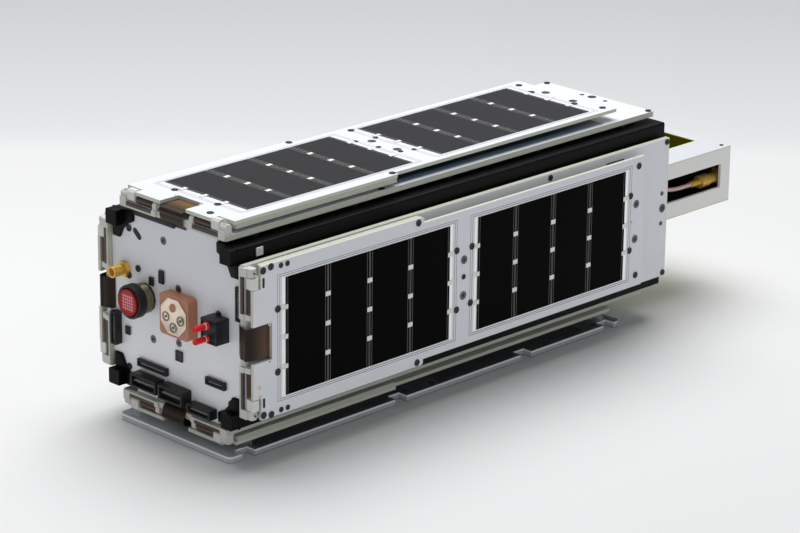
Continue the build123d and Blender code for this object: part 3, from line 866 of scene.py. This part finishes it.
def oblong(length, width, thick):
    """Dark flat pad with round ends."""
    pad = block("oblong", (length, width, thick), (0, 0, thick / 2), "dark_hole")
    only(pad)
    weights = pad.data.attributes.new("bevel_weight_edge", "FLOAT", "EDGE")
    for edge in pad.data.edges:
        a, b = (pad.data.vertices[index].co for index in edge.vertices)
        weights.data[edge.index].value = 1.0 if abs(a.z - b.z) > thick / 2 else 0.0
    modify("BEVEL", width=width * 0.49, segments=6, limit_method="WEIGHT")
    return soften(pad, thick * 0.3)


def chip(width, height, rise, legs):
    """Black package with metal legs along its two long sides."""
    body = block("chip", (width, height, rise * 0.8), (0, 0, rise * 0.6), "black_plastic")
    pieces = [soften(sink(body, width * 0.12, rise * 0.06), 0.12 * MM)]
    for side in (1, -1):
        for index in range(legs):
            at = (side * (width / 2 + 0.25 * MM), height * ((index + 0.5) / legs - 0.5), rise * 0.25)
            leg = block("leg", (0.7 * MM, height / legs * 0.45, rise * 0.4), at, "tab_silver")
            pieces.append(soften(leg, 0.06 * MM))
    return joined("chip", pieces)


# Pitch of the contacts in the sockets
PIN_PITCH = 1.27 * MM


def pin_row(count, size, y, z=0.0):
    """Row of small metal contacts along X."""
    spots = [((index - (count - 1) / 2) * PIN_PITCH, y, z + size[2] / 2) for index in range(count)]
    return [soften(block("pin", size, spot, "tab_silver"), min(size) * 0.2) for spot in spots]


# Outline of the black gusset over each corner of the near plate, across and up from the body's axis, in mm
GUSSET = (
    (33.5, 50.2), (33.5, 44.6), (38.4, 42.2), (42.2, 38.4), (44.6, 33.5), (50.2, 33.5), (50.2, 50.2))
GUSSET_THICK = 1.35 * MM


def gusset():
    """Flat corner piece with its own outline."""
    only(None)
    bpy.ops.mesh.primitive_circle_add(vertices=len(GUSSET), radius=1, fill_type="NGON")
    piece = settle("gusset", "black_anodised")
    for vertex, (x, y) in zip(piece.data.vertices, GUSSET):
        vertex.co = (x * MM, y * MM, 0)
    edit()
    extrude(0, 0, GUSSET_THICK)
    edit()
    bpy.ops.mesh.normals_make_consistent(inside=False)
    bpy.ops.object.mode_set(mode="OBJECT")
    return soften(piece, 0.25 * MM)


class SATELLITE_OT_rails(bpy.types.Operator):
    """Dress the rails and frames and add the separation switch, a black strip on the near plate and the corner
    gussets
    """
    bl_idname = "satellite.rails"
    bl_label = "Rails and Frames"

    def execute(self, context):
        for node in frame["nodes"]:
            if node.startswith(("rail_", "end_frame")):
                dress(node, "black_anodised")
        dress("electronics_block", "dark_stack")
        switch = joined("switch", [plate_pad(4.6 * MM, 4.6 * MM, 0.8 * MM, "grey_switch", 1.2 * MM),
                                   screw_head(0.9 * MM, 0.9 * MM, "grey_switch")])
        spread(switch, "separation_switch", [on_side("right", -150.3 * MM, 45.7 * MM, RAIL_FACE)])
        # Black strip along the near plate's top edge, below the top hinge
        seal = block("seal", (34 * MM, 3.4 * MM, 1.3 * MM), (0, 0, 0.65 * MM), "black_plastic")
        spread(soften(seal, 0.5 * MM), "panel_seal", [on_plate(17.0 * MM, RAIL_FACE + 0.5 * MM)])
        spread(gusset(), "corner_gussets", [on_plate(0, 0, quarter * math.pi / 2) for quarter in range(4)])
        return {"FINISHED"}


# Fittings of a wing board and of the panel under it: along the wing, across it, in mm
TOP_FITTINGS = {
    "board_screws": (
        (-148.2, 18.6), (-148.2, -15.7), (-160.4, -23.6), (-45.5, 40.1), (-4.1, 33.3), (-42.9, -39.3),
        (132.9, 32.2), (134.2, -33.0), (127.6, 17.2), (128.2, -16.4)),
    "board_rings": ((-9.8, 10.6), (-10.2, -10.0), (133.4, 11.1), (132.1, -11.8)),
    "board_eyes": ((-154.4, 10.9), (-154.5, -9.7), (129.3, 1.0)),
    "board_studs": ((-16.9, 16.4), (-3.8, 13.8), (-15.0, -0.1), (-11.7, -14.2), (-3.6, -16.6)),
    "panel_screws": ((66.1, 40.4), (166.3, 40.2), (166.4, -40.3), (-52.0, -40.4)),
    "panel_rings": ((163.4, 9.2), (163.4, -9.2)),
    "panel_sockets": ((164.2, 2.0),),
}
SIDE_FITTINGS = {
    "board_screws": (
        (-148.7, 16.6), (-148.8, -18.4), (-158.9, 40.0), (-158.9, -40.0), (-153.5, 41.0), (-153.5, -41.0),
        (-3.8, 17.2), (-15.3, -17.1), (-15.7, 17.4), (-4.4, -15.6), (134.2, 33.9), (134.1, -32.6),
        (-45.6, 40.2), (-45.6, -40.2), (127.7, 17.1), (128.1, -16.2)),
    "board_rings": ((-9.8, 10.8), (-10.2, -9.9), (132.9, 11.1), (132.6, -10.1)),
    "board_eyes": ((-154.4, 9.7), (-154.5, -11.1), (129.4, 1.0)),
    "board_studs": (
        (-146.4, 40.1), (-146.4, -40.1), (-141.8, 40.1), (-141.8, -40.1), (-10.0, 1.0)),
    "panel_screws": ((66.1, 39.9), (166.3, 40.2), (166.4, -40.3)),
    "panel_rings": ((163.5, 9.2), (163.4, -9.2)),
    "panel_sockets": ((164.2, 0.0),),
}
FITTINGS = {"top": TOP_FITTINGS, "right": SIDE_FITTINGS, "bottom": TOP_FITTINGS, "left": SIDE_FITTINGS}

# Height of the boards' screws and solder pads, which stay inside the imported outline, and of flat marks
LOW_RISE = 0.38 * MM
MARK_RISE = 0.14 * MM

# Tabs welded over the cell gaps: how far across the wing
TAB_ROWS = (-16.5 * MM, 0.0, 16.5 * MM)

# Bare pads on the side boards, painted shadows of the gaps by the hinge barrels, in mm, and dark mark of a
# side panel: along the wing, across it
BARE_PADS = ((-161.8, -23.9), (-161.2, -29.0))
BARREL_GAP_SHADOWS = ((-158.6, 33.3), (-158.6, -33.3))
PANEL_MARK = (121 * MM, 37.2 * MM)


class SATELLITE_OT_boards(bpy.types.Operator):
    """Dress the side panels, wing boards and bars and add their cells, screws, rings and tabs"""
    bl_idname = "satellite.boards"
    bl_label = "Boards and Cells"

    def execute(self, context):
        for place in TURN:
            dress(f"panel_{place}", f"panel_{place}")
            dress(f"wing_board_{place}", f"wing_board_{place}")
            dress(f"wing_bars_{place}", f"bar_laminate_{place}")
        models = {
            "board_screws": screw_head(2.0 * MM, LOW_RISE),
            "board_rings": eyelet(2.5 * MM, 1.1 * MM),
            "board_studs": screw_head(1.55 * MM, 0.3 * MM),
            "board_eyes": eyelet(1.0 * MM, 0.5 * MM, "tab_silver"),
            "panel_screws": screw_head(1.8 * MM, 0.6 * MM),
            "panel_rings": eyelet(1.4 * MM, 0.6 * MM),
            "panel_sockets": eyelet(2.7 * MM, 1.5 * MM),
        }
        for place, tables in FITTINGS.items():
            for kind, model in models.items():
                on_board = kind.startswith("board")
                level, body = (BOARD_OUT, WING_BODY[place]) if on_board else (PANEL_OUT, "root")
                spots = [on_side(place, x * MM, across * MM, level) for x, across in tables[kind]]
                spread(model, f"{kind}_{place}", spots, body, keep=True)
        for model in models.values():
            bpy.data.objects.remove(model)
        self.cells()
        self.tabs()
        self.pads()
        return {"FINISHED"}

    def cells(self):
        """Eight separate cells on each wing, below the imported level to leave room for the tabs."""
        centres, half, pitch = cell_groups()
        thick = CELL_FACE - BOARD_OUT
        size = (sizes().cell_length, 2 * CELL_HALF, thick)
        for place, body in WING_BODY.items():
            cell = soften(block("cell", size, (0, 0, thick / 2), f"solar_cell_{place}"), 0.06 * MM)
            bpy.ops.object.shade_flat()
            spots = [on_side(place, centre + step * pitch, 0, BOARD_OUT)
                     for centre in centres for step in (-1.5, -0.5, 0.5, 1.5)]
            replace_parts(spread(cell, f"cell_row_{place}", spots, body), f"wing_cells_{place}")

    def tabs(self):
        """Silver tabs over the gaps between cells and at the ends of each group, and pads beside the ends."""
        length, width = sizes().tab_length, sizes().tab_width
        centres, half, pitch = cell_groups()
        ends = [(centre, side) for centre in centres for side in (1, -1)]
        rows = (
            ("cell_tabs", plate_pad(length, width, TAB_RISE, "tab_silver", 0.5 * MM), CELL_FACE,
             [centre + step * pitch for centre in centres for step in (-1, 0, 1)]),
            ("end_tabs", plate_pad(length * 0.6, width, TAB_RISE, "tab_silver", 0.4 * MM), CELL_FACE,
             [centre + side * (half - length * 0.15) for centre, side in ends]),
            ("solder_pads", plate_pad(length * 0.7, width, LOW_RISE, "tab_silver", 0.4 * MM), BOARD_OUT,
             [centre + side * (half + length * 0.55) for centre, side in ends]),
        )
        for place, body in WING_BODY.items():
            for name, model, level, stations in rows:
                spots = [on_side(place, x, row, level) for x in stations for row in TAB_ROWS]
                spread(model, f"{name}_{place}", spots, body, keep=True)
        for name, model, level, stations in rows:
            bpy.data.objects.remove(model)

    def pads(self):
        """Bare pads and painted shadows of the gaps by the hinge barrels on the boards beside the hinges, and
        dark oblong marks near the panels' far ends.
        """
        for place in ("right", "left"):
            body = WING_BODY[place]
            spots = [on_side(place, x * MM, across * MM, BOARD_OUT) for x, across in BARE_PADS]
            pad = plate_pad(2.2 * MM, 1.6 * MM, MARK_RISE, "peach_pad", 0.3 * MM)
            spread(pad, f"bare_pads_{place}", spots, body)
            # Painted shadows: dark oblongs for the gaps between the hinge barrels and the board
            spots = [on_side(place, x * MM, across * MM, BOARD_OUT, math.pi / 2) for x, across in BARREL_GAP_SHADOWS]
            spread(oblong(5.6 * MM, 1.5 * MM, MARK_RISE), f"board_slots_{place}", spots, body)
        spots = [on_side(place, *PANEL_MARK, PANEL_OUT) for place in ("right", "left")]
        spread(oblong(15.6 * MM, 1.6 * MM, MARK_RISE), "panel_slots", spots)


# Route of the flexible circuit over the hinge: along the body, level outward from the axis, in mm
FLEX_ROUTE = (
    (-148.4, 60.20), (-152.6, 60.22), (-158.0, 60.55), (-163.0, 60.55), (-166.6, 60.10), (-168.2, 58.30),
    (-167.3, 56.60), (-167.3, 54.60), (-166.4, 52.40), (-165.0, 51.40), (-164.35, 50.00),
)


class SATELLITE_OT_hinges(bpy.types.Operator):
    """Dress the hinges and add their coil springs, screws and flexible circuits"""
    bl_idname = "satellite.hinges"
    bl_label = "Hinges"

    def execute(self, context):
        for place in TURN:
            dress(f"hinge_base_{place}", f"hinge_base_{place}")
            dress(f"hinge_leaf_{place}", "hinge_cream")
        self.springs()
        spots = [on_side(place, HINGE_X, side * BLOCK_MID, BLOCK_OUT)
                 for place in TURN for side in (1, -1)]
        spread(screw_head(1.3 * MM, 0.5 * MM, "pin_steel"), "hinge_screws", spots)
        self.ribbons()
        return {"FINISHED"}

    def springs(self):
        """Close coils about the pins, between the body's knuckle and the wing's hook."""
        wire = sizes().wire / 2
        low, high = SPRING_SPAN
        turns = int((high - low - 2 * wire) / (2 * wire * 1.08))
        pitch = (high - low - 2 * wire) / turns
        only(None)
        bpy.ops.mesh.primitive_circle_add(vertices=8, radius=wire, location=(SPRING_R - wire, 0, 0))
        coil = settle("coil", "spring_steel")
        modify("SCREW", axis="Y", steps=14, render_steps=14, iterations=turns, screw_offset=pitch)
        edit()
        weld()
        bpy.ops.mesh.fill_holes(sides=8)
        bpy.ops.mesh.normals_make_consistent(inside=False)
        bpy.ops.object.mode_set(mode="OBJECT")
        bpy.ops.object.shade_smooth_by_angle(angle=math.radians(60))
        spots = [on_side(place, HINGE_X, start, HINGE_H)
                 for place in TURN for start in (low + wire, wire - high)]
        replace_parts(spread(coil, "spring_coils", spots), "hinge_springs")

    def ribbons(self):
        """Flexible circuits from the wing boards round the hinge to the near plate."""
        only(None)
        bpy.ops.curve.primitive_nurbs_path_add()
        path = bpy.context.object
        spline = path.data.splines[0]
        spline.points.add(len(FLEX_ROUTE) - len(spline.points))
        for point, (x, level) in zip(spline.points, FLEX_ROUTE):
            point.co = (x * MM, 0, level * MM, 1)
        spline.order_u = 3
        spline.use_endpoint_u = True
        path.data.resolution_u = 5
        bpy.ops.object.convert(target="MESH")
        edit(kind="VERT")
        bpy.ops.transform.translate(value=(0, -FLEX_HALF, 0))
        extrude(0, 2 * FLEX_HALF, 0)
        model = settle("ribbon", "dark_hole")
        modify("SOLIDIFY", thickness=sizes().ribbon, offset=0)
        bpy.ops.object.shade_smooth_by_angle(angle=math.radians(50))
        for place, body in WING_BODY.items():
            twin = copies(model, f"flex_ribbon_{place}", [on_side(place)])
            twin.data.materials[0] = finish(f"flex_film_{place}")
            if body == "root":
                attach(twin, body)
            else:
                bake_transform(twin)
            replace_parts(twin, f"flex_strip_{place}", "flex_leads")
        bpy.data.objects.remove(model)


# Fittings on the near plate: across and up from the body's axis, in mm
PLATE_SCREWS = ((37.8, 40.0), (39.4, -39.5), (-43.0, -37.8), (30.8, 18.8), (38.4, 13.1))
PLATE_RINGS = ((10.0, 39.6), (19.4, -18.4), (-33.6, 9.7), (-1.5, -15.0), (-1.7, 15.6))

# Slanting slot on the near plate: its middle, across and up, and its lean
PLATE_SLOT = (31.3 * MM, 38.2 * MM, math.atan2(3.7, -4.4))

# Packages: across, up, width, height, rise, all in mm, and legs on each side
PLATE_CHIPS = (
    (19.4, 14.6, 3.6, 4.6, 1.2, 3), (11.2, 19.0, 4.0, 7.2, 1.3, 5), (39.7, -18.7, 3.8, 4.6, 1.2, 3),
    (-2.2, -22.2, 5.4, 5.8, 1.1, 5),
)

# Rings on the antenna's face, across and up from its middle, in mm
ANTENNA_RINGS = ((5.9, -1.0), (-5.6, -1.0), (0.2, -6.1))

# Push button: length of its threaded bushing, and levels of the ridges on it in mm
BUSHING_L = 6.2 * MM
BUSHING_RIDGES = (1.6, 2.5, 3.4, 4.3, 5.2)


class SATELLITE_OT_end(bpy.types.Operator):
    """Dress the end plates and fit the near one with its antenna, button, jack, header and sockets"""
    bl_idname = "satellite.end"
    bl_label = "End Plate"

    def execute(self, context):
        dress("end_plate_near", "plate_white")
        dress("end_plate_far", "plate_white")
        dress("antenna_block", "copper_ceramic")
        dress("coax_jack", "gold_thread")
        self.fittings()
        self.antenna()
        self.button()
        self.header()
        self.sockets()
        return {"FINISHED"}

    def fittings(self):
        """Screws, rings, slanting slot and packages."""
        spread(screw_head(1.95 * MM, 0.7 * MM), "plate_screws",
               [on_plate(y * MM, z * MM) for y, z in PLATE_SCREWS])
        spread(eyelet(2.3 * MM, 1.0 * MM), "plate_rings", [on_plate(y * MM, z * MM) for y, z in PLATE_RINGS])
        spread(oblong(7.6 * MM, 3.4 * MM, 0.2 * MM), "plate_slot", [on_plate(*PLATE_SLOT)])
        for index, (y, z, width, height, rise, legs) in enumerate(PLATE_CHIPS):
            spread(chip(width * MM, height * MM, rise * MM, legs), f"plate_chip_{index + 1}",
                   [on_plate(y * MM, z * MM)])

    def antenna(self):
        """Eight-sided metal face with its feed point and three rings."""
        y, z, across, up, thick = fitting("antenna_face")
        plate = drum("antenna_plate", across / 2 / math.cos(math.pi / 8), thick, 0, "cream_metal", sides=8)
        plate.data.transform(Matrix.Rotation(math.pi / 8, 4, "Z"))
        soften(sink(plate, 0.7 * MM, 0.15 * MM, "cream_metal"), 0.12 * MM)
        out = PLATE_X - span("antenna_face", 0)[1]
        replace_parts(spread(plate, "antenna_plate", [on_plate(y, z, out=out)]), "antenna_face")
        face = out + thick - 0.15 * MM
        ring = joined("ring", [hoop("rim", 2.35 * MM, 0.42 * MM, 0.1 * MM, "bushing"),
                               screw_head(0.8 * MM, 0.4 * MM, "bushing")])
        spots = [on_plate(y + off_y * MM, z + off_z * MM, out=face) for off_y, off_z in ANTENNA_RINGS]
        spread(ring, "antenna_rings", spots)
        feed = drum("feed", 2.3 * MM, 0.4 * MM, 0, "copper_ceramic")
        soften(sink(feed, 0.5 * MM, 0.15 * MM, "copper_ceramic"), 0.1 * MM)
        spread(feed, "antenna_feed", [on_plate(y + 0.6 * MM, z + 4.8 * MM, out=face)])

    def button(self):
        """Threaded bushing, black barrel and red lens."""
        y, z, across, up, out = fitting("button_body")
        radius = across / 2
        neck = radius - 1.1 * MM
        core = drum("core", neck - 0.5 * MM, BUSHING_L, 0, "bushing", sides=40)
        ridges = [hoop("ridge", neck - 0.45 * MM, 0.45 * MM, level * MM, "bushing", sides=40)
                  for level in BUSHING_RIDGES]
        nut = soften(drum("nut", neck, 1.2 * MM, 0, "black_plastic", sides=12), 0.2 * MM)
        bushing = joined("bushing", [core, nut, *ridges])
        barrel = drum("barrel", radius, out - BUSHING_L, BUSHING_L, "black_plastic", sides=48)
        soften(sink(barrel, radius - LENS_R - 0.3 * MM, 1.4 * MM), 0.7 * MM, 3)
        lens = drum("lens", LENS_R, 2.2 * MM, 0, "red_lens", sides=48)
        soften(sink(lens, 1.1 * MM, 0.25 * MM, "red_lens"), 0.35 * MM, 3)
        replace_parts(spread(barrel, "button_barrel", [on_plate(y, z)]), "button_body")
        spread(bushing, "button_bushing", [on_plate(y, z)])
        rise = PLATE_X - span("button_lens", 0)[0] - 2.2 * MM
        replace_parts(spread(lens, "button_cap", [on_plate(y, z, out=rise)]), "button_lens")

    def header(self):
        """Black block with sunk front and two red plugs with collars."""
        y, z, across, up, out = fitting("header_block")
        body = block("header", (across, up, out), (0, 0, out / 2), "black_plastic")
        soften(sink(body, 1.1 * MM, 0.9 * MM, "dark_hole"), 0.45 * MM, 3)
        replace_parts(spread(body, "header_body", [on_plate(y, z)]), "header_block")
        length = span("header_block", 0)[0] - span("header_plugs", 0)[0]
        plug = sink(drum("plug", PLUG_R, length, 0, "red_plastic"), 0.6 * MM, 0.6 * MM, "red_plastic")
        soften(plug, 0.35 * MM, 3)
        collar = hoop("collar", 1.75 * MM, 0.4 * MM, 1.2 * MM, "red_plastic")
        ring = hoop("ring", 1.55 * MM, 0.32 * MM, 2.4 * MM, "tab_silver")
        model = joined("plugs", [plug, collar, ring])
        spots = [on_plate(y, z + side * PLUG_RISE, out=out) for side in (1, -1)]
        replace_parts(spread(model, "header_plug_pair", spots), "header_plugs")

    def sockets(self):
        """Moulded sockets with a hollow mouth and contacts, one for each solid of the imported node."""
        pieces = []
        for low, high in island_boxes("plate_sockets"):
            out, across, up = (b - a for a, b in zip(low, high))
            y, z = (low[1] + high[1]) / 2, (low[2] + high[2]) / 2 - AXIS_Z
            long, short = max(across, up), min(across, up)
            body = block("socket", (long, short - 0.8 * MM, out), (0, -0.4 * MM, out / 2), "black_plastic")
            sink(body, min(1.3 * MM, short * 0.22), out * 0.45, "dark_hole")
            soften(body, min(0.5 * MM, out * 0.15))
            count = int(long / PIN_PITCH) - 1
            outer = pin_row(count, (0.5 * MM, 0.9 * MM, min(0.8 * MM, out * 0.5)), short / 2 - 0.5 * MM)
            inner = pin_row(count - 2, (0.35 * MM, 0.35 * MM, out * 0.3), -0.4 * MM, out * 0.55)
            spin = 0.0 if across > up else math.pi / 2
            pieces.append(spread(joined("socket", [body, *outer, *inner]), "socket", [on_plate(y, z, spin)]))
        sockets = joined("plate_connectors", pieces)
        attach(sockets, "root")
        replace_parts(sockets, "plate_sockets")


class SATELLITE_OT_payload(bpy.types.Operator):
    """Dress the payload box, its pane, plug and cable, and add the screws in its top"""
    bl_idname = "satellite.payload"
    bl_label = "Payload"

    def execute(self, context):
        for node in ("top", "bottom", "side_left", "side_right", "end"):
            dress(f"payload_{node}", "box_white")
        dress("payload_pane", "olive_pane")
        dress("payload_jack", "gold_thread")
        dress("payload_coax", "pink_jacket")
        low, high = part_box("payload_top")
        inset = 4 * MM
        spots = [Matrix.Translation((high[0] - inset, y, high[2])) for y in (low[1] + inset, high[1] - inset)]
        spread(screw_head(1.2 * MM, 0.4 * MM), "box_screws", spots)
        return {"FINISHED"}


class SATELLITE_OT_stand(bpy.types.Operator):
    """Dress the clear stand"""
    bl_idname = "satellite.stand"
    bl_label = "Stand"

    def execute(self, context):
        dress("stand_plate", "clear_acrylic")
        dress("stand_posts", "clear_acrylic")
        return {"FINISHED"}


# Camera, seen from the body's centre: turn, tilt and roll, place along its own axes, and focal length
CAMERA_TURN = math.radians(-44.92)
CAMERA_TILT = math.radians(19.2)
CAMERA_ROLL = math.radians(0.59)
CAMERA_PLACE = (1.92 * MM, -10.69 * MM, 1816.15 * MM)
CAMERA_LENS = 144.75

# Lamps: name, place, size, power, tint
LAMPS = (
    ("key", (0.5, 0.6, 2.2), 2.2, 76, (1.0, 1.0, 1.0)),
    ("fill", (-1.2, -2.3, 1.1), 1.6, 7, (0.95, 0.975, 1.0)),
)


class SATELLITE_OT_stage(bpy.types.Operator):
    """Add the floor, the lamps and the camera"""
    bl_idname = "satellite.stage"
    bl_label = "Stage"

    def execute(self, context):
        only(None)
        bpy.ops.mesh.primitive_plane_add(size=16, location=(0, 0, 0))
        floor = settle("floor", "studio_floor")
        self.lamps()
        self.camera()
        return {"FINISHED"}

    def lamps(self):
        world = bpy.context.scene.world or bpy.data.worlds.new("World")
        bpy.context.scene.world = world
        world.use_nodes = True
        sky = world.node_tree.nodes["Background"]
        sky.inputs["Color"].default_value = (0.93, 0.96, 1.0, 1.0)
        sky.inputs["Strength"].default_value = 0.25
        for name, at, size, power, tint in LAMPS:
            bpy.ops.object.light_add(type="AREA", location=at)
            lamp = bpy.context.object
            lamp.name = name
            lamp.data.size = size
            lamp.data.energy = power
            lamp.data.color = tint
            aim = Vector((0, 0, AXIS_Z)) - Vector(at)
            lamp.rotation_euler = aim.to_track_quat("-Z", "Y").to_euler()

    def camera(self):
        bpy.ops.object.camera_add()
        camera = bpy.context.object
        camera.name = "camera"
        camera.data.lens = CAMERA_LENS
        camera.data.sensor_width = 36
        camera.data.clip_start = 0.05
        camera.data.clip_end = 50
        camera.matrix_world = (
            Matrix.Translation((0, 0, AXIS_Z)) @ Matrix.Rotation(CAMERA_TURN, 4, "Z")
            @ Matrix.Rotation(math.pi / 2 - CAMERA_TILT, 4, "X") @ Matrix.Rotation(CAMERA_ROLL, 4, "Z")
            @ Matrix.Translation(CAMERA_PLACE))
        bpy.context.scene.camera = camera
        bpy.context.scene.view_settings.view_transform = "Standard"


STEPS = (
    SATELLITE_OT_rails,
    SATELLITE_OT_boards,
    SATELLITE_OT_hinges,
    SATELLITE_OT_end,
    SATELLITE_OT_payload,
    SATELLITE_OT_stand,
    SATELLITE_OT_stage,
)


class SATELLITE_PT_panel(bpy.types.Panel):
    """Lists the steps in the sidebar"""
    bl_label = "Satellite"
    bl_idname = "SATELLITE_PT_panel"
    bl_space_type = "VIEW_3D"
    bl_region_type = "UI"
    bl_category = "Satellite"

    def draw(self, context):
        for step in STEPS:
            self.layout.operator(step.bl_idname)


CLASSES = (SatelliteSizes, SatelliteColours, *STEPS, SATELLITE_PT_panel)


def register():
    for item in CLASSES:
        bpy.utils.register_class(item)
    bpy.types.Scene.satellite_sizes = bpy.props.PointerProperty(type=SatelliteSizes)
    bpy.types.Scene.satellite_colours = bpy.props.PointerProperty(type=SatelliteColours)


def unregister():
    del bpy.types.Scene.satellite_colours
    del bpy.types.Scene.satellite_sizes
    for item in reversed(CLASSES):
        bpy.utils.unregister_class(item)


def main():
    register()
    for step in STEPS:
        group, action = step.bl_idname.split(".")
        getattr(getattr(bpy.ops, group), action)()


if __name__ == "__main__":
    main()
